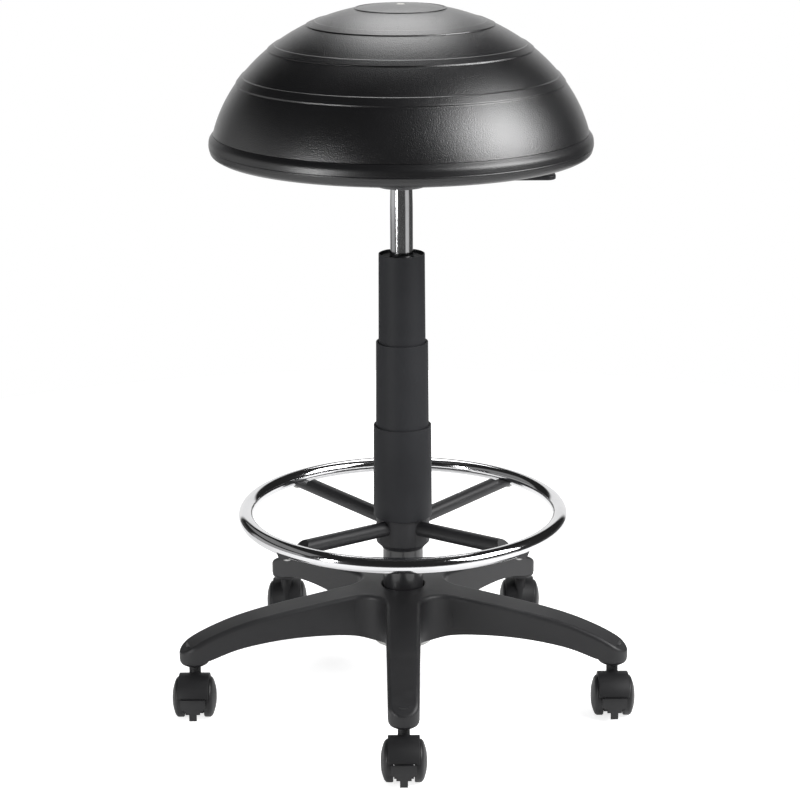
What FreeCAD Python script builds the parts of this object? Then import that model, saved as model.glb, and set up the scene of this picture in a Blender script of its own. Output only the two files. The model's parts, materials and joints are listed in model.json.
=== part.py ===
"""Half-ball stool on a five-arm castor base, with a gas lift, a telescopic cover and a foot ring.

Millimetres. The origin is on the column's axis at floor level, +Z up. One arm of the base points
along -Y, and the release lever comes out along +X. The lift stands at its highest setting.
"""
import FreeCAD
import Part
import math
import os
from FreeCAD import Vector

# Base
arm_count = 5
first_arm_angle = -90.0
castor_circle = 271.0
arm_tip_half_width = 18.6
arm_root_half_width = 21.6
arm_root_radius = 72.0
arm_valley_fillet = 30.0
arm_shoulder_fillet = 5.0
arm_wall = 3.4
arm_roof = 3.8
arm_crown = [(34.0, 135.6), (58.0, 134.6), (122.0, 127.7), (183.0, 119.3), (222.0, 111.2),
             (248.0, 103.0), (272.0, 92.6), (291.0, 78.5)]
arm_belly = [(34.0, 64.0), (66.0, 79.5), (104.0, 85.5), (150.0, 87.5), (195.0, 85.0),
             (228.0, 79.6), (246.0, 74.2), (258.0, 70.8), (275.0, 70.0), (291.0, 70.0)]
hub_bottom = 62.0
hub_radius = 33.0
hub_mouth_radius = 26.7
hub_mouth_depth = 9.0
hub_band_radius = 36.0
hub_band_height = 10.0
rib_thickness = 2.6
rib_recess = 3.0
cross_rib_radii = [70.0, 108.0, 146.0, 184.0, 222.0]
stem_boss_radius = 10.5
bowl_bottom = 61.6

# Castors
wheel_radius = 25.0
castor_trail = 15.0
castor_half_width = 27.0
tread_inner = 12.0
tread_outer = 19.5
fork_half_width = 11.4
fork_bottom = 8.5
fork_front = 26.0
fender_half_width = 18.7
fender_radius = 29.4
fender_gap = 1.2
fender_chamfer = 0.8
fender_lip = 33.0
fender_tail = 15.0
neck_radius = 7.2
neck_top = 60.9
web_foot = 32.0
web_top = 56.0
stem_radius = 5.5
stem_bottom = 34.0
stem_top = 85.4
socket_radius = 7.2
socket_top = 86.0
axle_radius = 3.0
running_clearance = 0.05
pedal_pivot_reach = 12.0
pedal_pivot_height = 18.4
pedal_pin_radius = 1.8
pedal_slot_half = 7.2
pedal_reach = 29.8
pedal_thickness = 2.4
pedal_plate_half = 15.0
pedal_step_half = 8.8
pedal_tab_half = 4.6
pedal_top = 32.0
pedal_plate_low = 19.0
pedal_step_low = 14.0
pedal_tab_low = 5.8

# Gas lift
column_radius = 25.0
column_wall = 2.0
column_bottom = 68.0
column_top = 352.0
column_foot_radius = 23.8
column_foot_top = 128.0
column_floor = 3.0
cylinder_radius = 14.0
cylinder_bore = 12.0
cylinder_bottom = 281.0
cylinder_taper_start = 620.0
cylinder_top = 662.0
cylinder_top_radius = 13.1
rod_radius = 5.0
rod_bottom = 63.6
piston_height = 14.0
piston_bottom = 296.0
button_radius = 3.6
button_top = 667.6

# Telescopic cover: radius at the bottom and top, and the two heights, of each stage
cover_wall = 1.5
lower_stage = {"r": (36.4, 35.6), "z": (228.0, 345.0)}
middle_stage = {"r": (32.8, 31.9), "z": (330.0, 451.0)}
upper_stage = {"r": (28.9, 28.1), "z": (431.0, 561.0)}
cover_lip = 0.6
middle_flange = 1.0
upper_flange = 1.1
upper_grip_depth = 9.0
lower_grip_bottom = 229.6
lower_grip_height = 3.0

# Foot ring
ring_radius = 195.6
ring_tube_radius = 9.45
ring_tube_wall = 1.6
ring_height = 231.0
collar_radius = 33.2
collar_flat = 32.0
collar_top = 227.4
collar_cone_top = 193.6
collar_bottom = 186.0
collar_nose_radius = 26.4
collet_outer = 28.4
spoke_count = 4
first_spoke_angle = 45.0
spoke_radius = 9.2
spoke_axis_height = 213.0
spoke_rise = 0.08
spoke_start = 29.0
spoke_end = 204.0
spoke_flat_start = 172.0
ring_screw_radius = 2.5
ring_screw_head = 5.2
ring_screw_seat = spoke_axis_height + spoke_rise * ring_radius - spoke_radius + 0.8

# Seat
dome_radius = 228.8
dome_centre = 676.4
dome_height = 184.2
dome_side_power = 2.047
dome_top_power = 1.873
dome_points = 9
dome_skin = 4.0
dome_seam_height = 710.6
dome_foot_radius = 217.6
dome_band_rise = 0.9
dome_bands = [(101.1, 111.7), (149.4, 157.4), (188.1, 195.1)]
crown_ring_radius = 52.2
crown_ring_width = 2.4
rim_radius = 229.5
rim_widest = 695.0
rim_bottom = 684.0
rim_inner_radius = 218.4
pan_floor = 688.0
pan_thickness = 4.0
pan_pad_radius = 92.0
pan_rib_count = 12
pan_rib_bottom = 676.0
pan_rib_end = 212.0
pan_ring_rib_radius = 150.0
seam_gap = 0.4
plate_half_size = 78.0
plate_bottom = 671.0
plate_thickness = 2.5
plate_corner = 14.0
bolt_offset = 60.0
boss_radius = 36.0
boss_bottom = 642.0
boss_shoulder = 648.5
plug_radius = 5.6
plug_depth = 9.0
plug_wall = 3.0

# Release lever
lever_pivot_x = 24.0
lever_pivot_z = 664.0
lever_rod_radius = 4.0
lever_start = 30.0
lever_tip = 185.0
lever_tip_height = 655.0
paddle_start = 128.0
paddle_half_width = 15.0
paddle_thickness = 6.0
finger_bottom = 668.0
finger_end = -2.0
finger_half_width = 5.0
pin_radius = 2.5

up = Vector(0, 0, 1)
origin = Vector(0, 0, 0)


def face_in_xz(points):
    """Flat face whose outline is a closed polygon of (x, z) points."""
    corners = [Vector(x, 0, z) for x, z in points]
    return Part.Face(Part.makePolygon(corners + corners[:1]))


def block_face(x, z):
    """Rectangle in the XZ plane from two (low, high) pairs."""
    return face_in_xz([(x[0], z[0]), (x[1], z[0]), (x[1], z[1]), (x[0], z[1])])


def turned(points):
    """Solid of revolution about Z from (radius, height) points."""
    return face_in_xz(points).revolve(origin, up, 360)


def tube(inner, outer, bottom, top):
    """Round tube, or a disc where inner is zero."""
    return turned([(inner, bottom), (outer, bottom), (outer, top), (inner, top)])


def rod(start, end, radius):
    """Round bar between two points."""
    along = end - start
    return Part.makeCylinder(radius, along.Length, start, along)


def block(x, y, z):
    """Box from three (low, high) pairs."""
    return Part.makeBox(x[1] - x[0], y[1] - y[0], z[1] - z[0], Vector(x[0], y[0], z[0]))


def at_angle(shape, degrees):
    """Copy of a shape turned about the column's axis."""
    copy = shape.copy()
    copy.rotate(origin, up, degrees)
    return copy


def around(shape, count, first=0.0):
    """Copies of a shape spaced evenly round the column's axis."""
    return [at_angle(shape, first + 360.0 * k / count) for k in range(count)]


def joined(shapes):
    """One solid from shapes that touch or overlap."""
    first, rest = shapes[0], shapes[1:]
    return first.fuse(rest).removeSplitter() if rest else first


def smooth_edge(points):
    """Curve in the XZ plane through (x, z) points."""
    curve = Part.BSplineCurve()
    curve.interpolate([Vector(x, 0, z) for x, z in points])
    return curve.toShape()


def straight(start, end):
    """Straight edge in the XZ plane between two (x, z) points."""
    return Part.makeLine(Vector(start[0], 0, start[1]), Vector(end[0], 0, end[1]))


def save(name, shape):
    """Write one sub-part."""
    shape.exportStep("parts/%s.step" % name)
    print("%-20s %2d solid %9.0f mm3" % (name, len(shape.Solids), shape.Volume))


# Five-arm base

def arm_band(lower_rise, upper_drop):
    """Revolved band between the arms' belly and crown curves, moved in by the two amounts."""
    low = [(r, z + lower_rise) for r, z in arm_belly]
    high = [(r, z - upper_drop) for r, z in arm_crown]
    edges = [straight((0, low[0][1]), low[0]), smooth_edge(low), straight(low[-1], high[-1]),
             smooth_edge(high[::-1]), straight(high[0], (0, high[0][1])),
             straight((0, high[0][1]), (0, low[0][1]))]
    return Part.Face(Part.Wire(Part.__sortEdges__(edges))).revolve(origin, up, 360)


def star_prism(inset):
    """Upright prism on the plan of the five arms, with a round end under each castor stem."""
    tip, root = arm_tip_half_width - inset, arm_root_half_width - inset
    low, high = 40.0, 150.0
    widen = root + (root - tip) * arm_root_radius / (castor_circle - arm_root_radius)
    corners = [Vector(0, -widen, low), Vector(castor_circle, -tip, low),
               Vector(castor_circle, tip, low), Vector(0, widen, low)]
    arm = Part.Face(Part.makePolygon(corners + corners[:1])).extrude(up * (high - low))
    arm = arm.fuse(Part.makeCylinder(tip, high - low, Vector(castor_circle, 0, low)))
    star = joined(around(arm, arm_count, first_arm_angle))
    valleys = [e for e in star.Edges
               if abs(e.BoundBox.ZLength - (high - low)) < 0.1
               and math.hypot(e.CenterOfMass.x, e.CenterOfMass.y) < arm_root_radius]
    return star.makeFillet(arm_valley_fillet + inset, valleys)


def arm_ribs():
    """Ribs inside one arm that lies along +X: one along it and several across it."""
    ribs = [block((hub_radius - 1, castor_circle), (-rib_thickness / 2, rib_thickness / 2), (50, 140))]
    for r in cross_rib_radii:
        ribs.append(block((r - rib_thickness / 2, r + rib_thickness / 2), (-24, 24), (50, 140)))
    return joined(ribs)


def stem_bowl():
    """Rounded underside of an arm's end, turned about the stem's axis, with the stem's boss."""
    tip = arm_tip_half_width
    bowl = turned([(0, bowl_bottom), (9.0, bowl_bottom), (13.4, 62.6), (16.6, 64.6), (18.1, 67.0),
                   (tip - 0.1, 71.0), (tip - 0.1, 80.0), (tip - arm_wall, 80.0),
                   (tip - arm_wall - 1.0, 70.4), (12.0, 67.0), (8.6, 65.8), (0, 65.8)])
    boss = tube(0, stem_boss_radius, 62.4, 88.9)
    piece = bowl.fuse(boss)
    piece.translate(Vector(castor_circle, 0, 0))
    return piece


def column_foot(growth=0.0):
    """Cone that the column's lower end and the hub's bore share."""
    return turned([(0, column_bottom - growth), (column_foot_radius, column_bottom - growth),
                   (column_radius, column_foot_top), (column_radius, 140), (0, 140)])


def make_star_base():
    """Ribbed nylon moulding that is open below, with its hub and stem bosses."""
    body = star_prism(0).common(arm_band(0, 0))
    roof = max((f for f in body.Faces if f.BoundBox.ZMax > 134), key=lambda f: f.Area)
    body = body.makeFillet(arm_shoulder_fillet, roof.OuterWire.Edges)
    cavity = star_prism(arm_wall).common(arm_band(-30, arm_roof))
    inner = star_prism(arm_wall - 0.8).common(arm_band(rib_recess, arm_roof - 0.8))
    ribs = inner.common(joined(around(arm_ribs(), arm_count, first_arm_angle)))
    hub = tube(0, hub_radius, hub_bottom, 133.0)
    bowls = around(stem_bowl(), arm_count, first_arm_angle)
    ribs = ribs.cut(tube(0, hub_band_radius, 0, hub_bottom + hub_band_height))
    body = joined([body.cut(cavity), ribs, hub] + bowls)
    body = body.cut(column_foot())
    body = body.cut(tube(0, 14.0, 50, column_bottom + 1))
    body = body.cut(turned([(0, 135.6 - hub_mouth_depth), (column_radius, 135.6 - hub_mouth_depth),
                            (hub_mouth_radius, 135.6 - hub_mouth_depth + 3), (hub_mouth_radius, 133.8),
                            (hub_mouth_radius + 1.6, 135.8), (hub_mouth_radius + 1.6, 140), (0, 140)]))
    stem_bore = Part.makeCylinder(socket_radius, socket_top - 50, Vector(castor_circle, 0, 50))
    for bore in around(stem_bore, arm_count, first_arm_angle):
        body = body.cut(bore)
    return body


def make_hub_band():
    """Steel ring pressed round the lower end of the hub."""
    return tube(hub_radius, hub_band_radius, hub_bottom, hub_bottom + hub_band_height)


def make_stem_sockets():
    """Five steel sleeves that hold the castor stems."""
    sleeve = tube(stem_radius + running_clearance, socket_radius, bowl_bottom, socket_top)
    sleeve.translate(Vector(castor_circle, 0, 0))
    return Part.makeCompound(around(sleeve, arm_count, first_arm_angle))


# Castors, in a frame whose origin is on the floor under the stem and whose +X is the trailing side

def axle_axis(shape):
    """Turn a shape of revolution about Z onto the axle, with its +Z along +Y."""
    shape.rotate(origin, Vector(1, 0, 0), -90)
    shape.translate(Vector(castor_trail, 0, wheel_radius))
    return shape


def fender_ring():
    """Round cover over both wheels, from the lip above the pedal to its tail behind the stem."""
    inner, wide = wheel_radius + fender_gap, fender_half_width
    ring = turned([(inner, -wide), (fender_radius - fender_chamfer, -wide),
                   (fender_radius, fender_chamfer - wide), (fender_radius, wide - fender_chamfer),
                   (fender_radius - fender_chamfer, wide), (inner, wide)])
    ring = axle_axis(ring)
    ring = ring.cut(block((castor_trail, castor_trail + 60), (-30, 30), (-20, fender_lip)))
    return ring.cut(block((castor_trail - 60, castor_trail), (-30, 30), (-20, fender_tail)))


def fork_body():
    """Solid middle of the castor between its wheels."""
    front = castor_trail + fork_front
    outline = face_in_xz([(-30, fender_tail), (-9, fender_tail), (castor_trail - 6, fork_bottom),
                          (castor_trail + 14, fork_bottom), (front, 14), (front, fender_lip),
                          (front + 10, fender_lip), (front + 10, 70), (-30, 70)])
    outline.translate(Vector(0, -fork_half_width, 0))
    plate = outline.extrude(Vector(0, 2 * fork_half_width, 0))
    return plate.common(axle_axis(tube(0, fender_radius, -fork_half_width, fork_half_width)))


def neck_web():
    """Web under the neck on the stem's side, wide at the neck and narrow at its foot."""
    outline = face_in_xz([(0, web_top), (-4.5, web_top), (-14.0, web_foot), (0, web_foot)])
    outline.translate(Vector(0, -neck_radius, 0))
    web = outline.extrude(Vector(0, 2 * neck_radius, 0))
    corners = [Vector(-20, -1.5, web_foot), Vector(-20, 1.5, web_foot), Vector(-20, 6.0, web_top),
               Vector(-20, -6.0, web_top)]
    wedge = Part.Face(Part.makePolygon(corners + corners[:1])).extrude(Vector(20, 0, 0))
    return web.common(wedge)


def make_castor_hood():
    """Moulded fork with its fender and round neck, bored for the stem, the axle and the pedal."""
    neck = tube(0, neck_radius, stem_bottom + 6.0, neck_top)
    hood = joined([fork_body(), fender_ring(), neck, neck_web()])
    slot = block((castor_trail + 8, castor_trail + 40), (-pedal_slot_half, pedal_slot_half), (0, 24))
    hood = hood.cut(slot).cut(pedal_trunnions(running_clearance))
    hood = hood.cut(tube(0, stem_radius, stem_bottom, neck_top + 10))
    return hood.cut(axle_axis(tube(0, axle_radius, -30, 30)))


def pedal_trunnions(clearance=0.0):
    """Round stubs on the pedal's shank, or the holes for them in the fork's cheeks."""
    x, reach = castor_trail + pedal_pivot_reach, pedal_slot_half + 3.0 + clearance
    return rod(Vector(x, -reach, pedal_pivot_height), Vector(x, reach, pedal_pivot_height),
               pedal_pin_radius + clearance)


def make_castor_stem():
    """Steel stem with its snap ring groove and the ring in it."""
    stem = turned([(0, stem_bottom), (stem_radius, stem_bottom), (stem_radius, 80.0), (4.5, 80.0),
                   (4.5, 82.2), (stem_radius, 82.2), (stem_radius, 83.8), (4.4, stem_top), (0, stem_top)])
    ring = tube(4.5, stem_radius - 0.1, 80.2, 82.0)
    return stem.fuse(ring.cut(block((0, 8), (-1, 1), (79, 84)))).removeSplitter()


def make_castor_axle():
    """Steel pin through the fork that carries both wheels."""
    return axle_axis(tube(0, axle_radius, -22.0, 22.0))


def make_wheel(side):
    """Wheel on one side of the fork: tread, bulging outer face and hollow inner face."""
    bore = axle_radius + running_clearance
    half = [(bore, tread_inner), (7.5, tread_inner), (7.5, 18.6), (20.6, 18.6), (21.6, tread_inner + 0.4),
            (wheel_radius - 0.8, tread_inner + 0.4), (wheel_radius, tread_inner + 1.4),
            (wheel_radius, tread_outer)]
    bulge = [half[-1], (wheel_radius - 0.8, tread_outer + 1.5), (18.5, 24.2), (11.0, 26.2),
             (0, castor_half_width)]
    end = [bulge[-1], (0, 22.4), (bore, 22.4), half[0]]
    edges = [straight(a, b) for a, b in zip(half, half[1:])]
    edges += [smooth_edge(bulge)] + [straight(a, b) for a, b in zip(end, end[1:])]
    wheel = Part.Face(Part.Wire(edges)).revolve(origin, up, 360)
    if side < 0:
        wheel = wheel.mirror(origin, up)
    return axle_axis(wheel)


def make_brake_pedal():
    """Foot pedal at the trailing side, with its press tab and the shank that reaches into the fork."""
    near = castor_trail + pedal_reach
    far = near + pedal_thickness
    plate = block((near, far), (-pedal_plate_half, pedal_plate_half), (pedal_plate_low, pedal_top))
    across = [e for e in plate.Edges if abs(e.BoundBox.XLength - pedal_thickness) < 0.1]
    lower = [e for e in across if e.CenterOfMass.z < pedal_plate_low + 1]
    plate = plate.makeFillet(4.5, lower)
    step = block((near, far), (-pedal_step_half, pedal_step_half), (pedal_step_low, pedal_plate_low + 1))
    tab = block((near, far), (-pedal_tab_half, pedal_tab_half), (pedal_tab_low, pedal_step_low + 1))
    shank = block((castor_trail + 9.5, near + 0.1), (-6.2, 6.2), (15.4, 21.4))
    return joined([plate, step, tab, shank, pedal_trunnions()])


def placed_castor(shape, index):
    """Move a castor's piece to its arm. The front three trail forwards and the rear two backwards."""
    angle = math.radians(first_arm_angle + 360.0 * index / arm_count)
    y = math.sin(angle)
    heading = 90.0 if y > 0 else -90.0
    copy = at_angle(shape, heading)
    copy.translate(Vector(castor_circle * math.cos(angle), castor_circle * y, 0))
    return copy


# Gas lift

def make_column_tube():
    """Steel stand tube, tapered where it seats in the hub and closed below by its floor."""
    inner = column_radius - column_wall
    return turned([(rod_radius + 0.08, column_bottom), (column_foot_radius, column_bottom),
                   (column_radius, column_foot_top), (column_radius, column_top - 1.0),
                   (column_radius - 1.0, column_top), (inner, column_top), (inner, column_foot_top),
                   (column_foot_radius - column_wall, column_bottom + column_floor),
                   (rod_radius + 0.08, column_bottom + column_floor)])


def make_guide_sleeve():
    """Plastic bush in the top of the stand tube that guides the moving cylinder."""
    inner = cylinder_radius + running_clearance
    outer = column_radius - column_wall
    body = turned([(inner, 262), (outer, 262), (outer, column_top), (outer + 1.0, column_top),
                   (outer + 1.0, column_top + 2.0), (inner, column_top + 2.0)])
    scallop = Part.makeCylinder(3.2, 92, Vector(inner + 5.4, 0, 255))
    for groove in around(scallop, 8):
        body = body.cut(groove)
    return body


def make_bearing_race():
    """Lower race of the thrust bearing, on the stand tube's floor."""
    low = column_bottom + column_floor
    return turned([(rod_radius + 0.3, low), (12.5, low), (12.5, low + 2.6), (10.6, low + 2.6),
                   (9.0, low + 1.8), (7.4, low + 2.6), (rod_radius + 0.3, low + 2.6)])


def make_bearing_cage():
    """Balls in their cage with the upper race."""
    low = column_bottom + column_floor
    cage = tube(rod_radius + 0.06, 12.0, low + 3.2, low + 4.6)
    race = tube(rod_radius, 12.5, low + 5.4, low + 8.0)
    balls = around(Part.makeSphere(1.9, Vector(9.0, 0, low + 4.1)), 8)
    return joined([cage, race, tube(rod_radius + 0.06, 6.6, low + 4.4, low + 5.6)] + balls)


def make_rubber_buffer():
    """Rubber stop that the moving cylinder lands on at the lowest setting."""
    low = column_bottom + column_floor + 8.0
    return turned([(rod_radius, low), (12.0, low), (12.0, low + 9.0), (10.4, low + 11.0),
                   (rod_radius, low + 11.0)])


def make_piston_rod():
    """Thin rod that hangs the lift on the bearing, with the piston at its upper end."""
    neck = rod_radius - 1.0
    return turned([(0, rod_bottom), (rod_radius - 0.8, rod_bottom), (rod_radius, rod_bottom + 0.8),
                   (rod_radius, 65.4), (neck, 65.4), (neck, 66.8), (rod_radius, 66.8),
                   (rod_radius, piston_bottom), (cylinder_bore - running_clearance, piston_bottom),
                   (cylinder_bore - running_clearance, piston_bottom + piston_height), (0, 320.0)])


def make_retaining_clip():
    """Spring clip in the rod's groove under the stand tube."""
    ring = tube(rod_radius - 1.0, 9.4, 65.5, 66.7)
    return ring.cut(block((0, 12), (-3.2, 3.2), (64, 68)))


def make_gas_cylinder():
    """Chromed cylinder that slides in the guide sleeve; its upper end is the seat's taper."""
    rod_hole, button_hole = rod_radius + running_clearance, button_radius + running_clearance
    return turned([(rod_hole, cylinder_bottom), (cylinder_radius - 1.2, cylinder_bottom),
                   (cylinder_radius, cylinder_bottom + 1.2), (cylinder_radius, cylinder_taper_start),
                   (cylinder_top_radius, cylinder_top), (button_hole, cylinder_top),
                   (button_hole, cylinder_top - 14.0), (cylinder_bore, cylinder_top - 14.0),
                   (cylinder_bore, cylinder_bottom + 12.0), (rod_hole, cylinder_bottom + 12.0)])


def make_release_button():
    """Valve pin in the cylinder's end that the lever presses."""
    low = cylinder_top - 9.0
    return turned([(0, low), (button_radius, low), (button_radius, button_top - 0.8),
                   (button_radius - 0.8, button_top), (0, button_top)])


# Telescopic cover

def cover_shell(stage, flange, lip):
    """Tapered sleeve with an outward flange at its foot and an inward lip at its mouth."""
    (low_r, high_r), (low, high) = stage["r"], stage["z"]
    slope = (low_r - high_r) / (high - low)
    points = [(low_r - cover_wall, low), (low_r + flange, low)]
    if flange:
        points += [(low_r + flange, low + 2.0), (low_r - 2.0 * slope, low + 2.0)]
    points += [(high_r + slope, high - 0.8), (high_r - 0.6, high), (high_r - cover_wall - lip, high)]
    if lip:
        points += [(high_r - cover_wall - lip, high - 1.6), (high_r - cover_wall, high - 2.2)]
    return turned(points)


def make_lower_cover():
    """Widest stage. Its floor grips the stand tube."""
    shell = cover_shell(lower_stage, 0.0, cover_lip)
    floor = tube(column_radius, lower_stage["r"][0] - 1.0, lower_grip_bottom,
                 lower_grip_bottom + lower_grip_height)
    slot = block((column_radius - 1, column_radius + 6), (-0.8, 0.8), (220, 240))
    for cut in around(slot, 8):
        floor = floor.cut(cut)
    return shell.fuse(floor).removeSplitter()


def make_middle_cover():
    """Floating stage between the other two."""
    return cover_shell(middle_stage, middle_flange, cover_lip)


def make_upper_cover():
    """Narrowest stage. Slotted fingers in its mouth grip the moving cylinder."""
    shell = cover_shell(upper_stage, upper_flange, 0.0)
    top = upper_stage["z"][1] - 3.0
    web = tube(cylinder_radius, upper_stage["r"][1] - 1.0, top - 2.0, top)
    grip = turned([(cylinder_radius, top - upper_grip_depth), (cylinder_radius + 1.6, top - upper_grip_depth),
                   (cylinder_radius + 2.4, top), (cylinder_radius, top)])
    slot = block((cylinder_radius - 1, cylinder_radius + 8.0), (-1.1, 1.1), (top - 12, top + 2))
    inside = web.fuse(grip)
    for cut in around(slot, 8, 22.5):
        inside = inside.cut(cut)
    return shell.fuse(inside).removeSplitter()


# Foot ring

def spoke_axis_point(radius):
    """Point on the axis of the spoke that lies along +X."""
    return Vector(radius, 0, spoke_axis_height + spoke_rise * radius)


def ring_solid(tube_radius):
    """The foot ring's own round section, or one a little larger."""
    return Part.makeTorus(ring_radius, tube_radius, Vector(0, 0, ring_height))


def make_foot_ring():
    """Chromed steel tube bent to a circle and closed."""
    ring = ring_solid(ring_tube_radius).cut(ring_solid(ring_tube_radius - ring_tube_wall))
    hole = rod(Vector(ring_radius, 0, 200), Vector(ring_radius, 0, ring_height), ring_screw_radius)
    for cut in around(hole, spoke_count, first_spoke_angle):
        ring = ring.cut(cut)
    return ring


def make_foot_ring_collar():
    """Collar round the column: round body, a flat for each spoke, a cone below and a bore for the grip."""
    body = turned([(collet_outer, collar_cone_top + 2), (collet_outer, collar_top),
                   (collar_radius - 0.8, collar_top), (collar_radius, collar_top - 0.8),
                   (collar_radius, collar_cone_top), (collar_nose_radius, collar_bottom + 0.6),
                   (collar_nose_radius, collar_bottom), (column_radius + 0.4, collar_bottom),
                   (column_radius + 0.4, collar_cone_top + 2)])
    flat = block((collar_flat, collar_radius + 2), (-20, 20), (150, 240))
    for cut in around(flat, spoke_count, first_spoke_angle):
        body = body.cut(cut)
    inner = spoke_axis_point(spoke_start)
    socket = rod(inner, spoke_axis_point(60), spoke_radius)
    for cut in around(socket, spoke_count, first_spoke_angle):
        body = body.cut(cut)
    return body


def make_grip_collet():
    """Split sleeve between the collar and the column that holds the ring where it is put."""
    low = collar_cone_top + 2.0
    inner = column_radius + running_clearance
    body = turned([(inner, low), (collet_outer, low), (collet_outer, collar_top), (inner, collar_top)])
    slot = block((20, 32), (-1.0, 1.0), (low - 1, collar_top - 5))
    for cut in around(slot, 8, 22.5):
        body = body.cut(cut)
    return body


def make_spoke():
    """Round bar from the collar, cut to a flat tongue at its end with a saddle for the ring."""
    start, end = spoke_axis_point(spoke_start), spoke_axis_point(spoke_end)
    bar = rod(start, end, spoke_radius)
    flat_top = spoke_axis_point(spoke_flat_start).z + 1.0
    bar = bar.cut(block((spoke_flat_start, 230), (-20, 20), (flat_top, 260)))
    ramp = face_in_xz([(spoke_flat_start - 10, flat_top + 10), (spoke_flat_start, flat_top),
                       (spoke_flat_start + 1, 260), (spoke_flat_start - 10, 260)])
    ramp.translate(Vector(0, -20, 0))
    bar = bar.cut(ramp.extrude(Vector(0, 40, 0)))
    bar = bar.cut(ring_solid(ring_tube_radius))
    hole = rod(Vector(ring_radius, 0, 200), Vector(ring_radius, 0, 240), ring_screw_radius)
    seat = Vector(ring_radius, 0, ring_screw_seat)
    spot_face = rod(Vector(ring_radius, 0, 200), seat, ring_screw_head + 0.4)
    return bar.cut(hole).cut(spot_face).cut(tube(0, collet_outer, 150, 260))


def make_spokes():
    """Four spokes."""
    return Part.makeCompound(around(make_spoke(), spoke_count, first_spoke_angle))


def make_ring_screws():
    """Four screws that fasten the spokes' tongues to the ring from below."""
    seat, wide = ring_screw_seat, ring_screw_head
    head = turned([(0, seat - 3.0), (wide - 0.8, seat - 3.0), (wide, seat - 1.6), (wide, seat), (0, seat)])
    head = head.cut(Part.makeCylinder(1.8, 2.0, Vector(0, 0, seat - 3.4)))
    screw = head.fuse(tube(0, ring_screw_radius, seat - 0.5, ring_height - 7.0))
    screw.translate(Vector(ring_radius, 0, 0))
    return Part.makeCompound(around(screw, spoke_count, first_spoke_angle))


# Seat

def dome_point(angle, growth=0.0):
    """Point (radius, height) on the dome's rounded-square arch, or on one grown by a distance."""
    radius = (dome_radius + growth) * math.cos(angle) ** (2 / dome_side_power)
    height = (dome_height + growth) * math.sin(angle) ** (2 / dome_top_power)
    return (radius, dome_centre + height)


def dome_angle(radius):
    """Angle along the arch at which the dome has a given radius."""
    return math.acos((radius / dome_radius) ** (dome_side_power / 2))


def dome_profile(growth):
    """Half section of the dome, with the straight foot that sits inside the pan's rim."""
    rise = (dome_seam_height - growth - dome_centre) / (dome_height + growth)
    seam = math.asin(rise ** (dome_top_power / 2))
    step = (math.pi / 2 - seam) / (dome_points - 1)
    arch = [dome_point(seam + step * k, growth) for k in range(dome_points - 1)]
    crown = (0, dome_centre + dome_height + growth)
    foot_radius, foot = dome_foot_radius + growth, pan_floor + seam_gap - growth
    shoulder = (foot_radius, arch[0][1])
    edges = [smooth_edge(arch + [crown]), straight(crown, (0, foot)),
             straight((0, foot), (foot_radius, foot)), straight((foot_radius, foot), shoulder),
             straight(shoulder, arch[0])]
    return Part.Face(Part.Wire(Part.__sortEdges__(edges)))


def dome_band(inner, outer, rise):
    """Low raised band on the dome between two radii, sunk a little into the skin."""
    steep, flat = dome_angle(outer), dome_angle(inner)
    bevel = 0.15 * (flat - steep)
    return face_in_xz([dome_point(steep, -1.5), dome_point(steep, 0.0), dome_point(steep + bevel, rise),
                       dome_point((steep + flat) / 2, rise), dome_point(flat - bevel, rise),
                       dome_point(flat, 0.0), dome_point(flat, -1.5)])


def make_ball_dome():
    """Air-filled half ball: a closed skin with raised bands, and a pocket in its crown for the plug."""
    top = dome_centre + dome_height
    wall = block_face((0, plug_radius + plug_wall), (top - plug_depth - plug_wall, top - plug_wall))
    half = dome_profile(0).cut(dome_profile(-dome_skin)).fuse(wall)
    for inner, outer in dome_bands:
        half = half.fuse(dome_band(inner, outer, dome_band_rise))
    half = half.fuse(dome_band(crown_ring_radius, crown_ring_radius + crown_ring_width, dome_band_rise))
    half = half.cut(block_face((0, plug_radius), (top - plug_depth, top + 1)))
    return joined([face.revolve(origin, up, 360) for face in half.Faces])


def make_valve_plug():
    """Round plug pushed into the crown, with a small pull lip."""
    top = dome_centre + dome_height
    low = top - plug_depth
    return turned([(0, low), (plug_radius - 0.4, low), (plug_radius, low + 0.8), (plug_radius, top - 0.6),
                   (plug_radius - 0.8, top), (1.6, top), (1.2, top - 0.5), (0, top - 0.5)])


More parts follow.
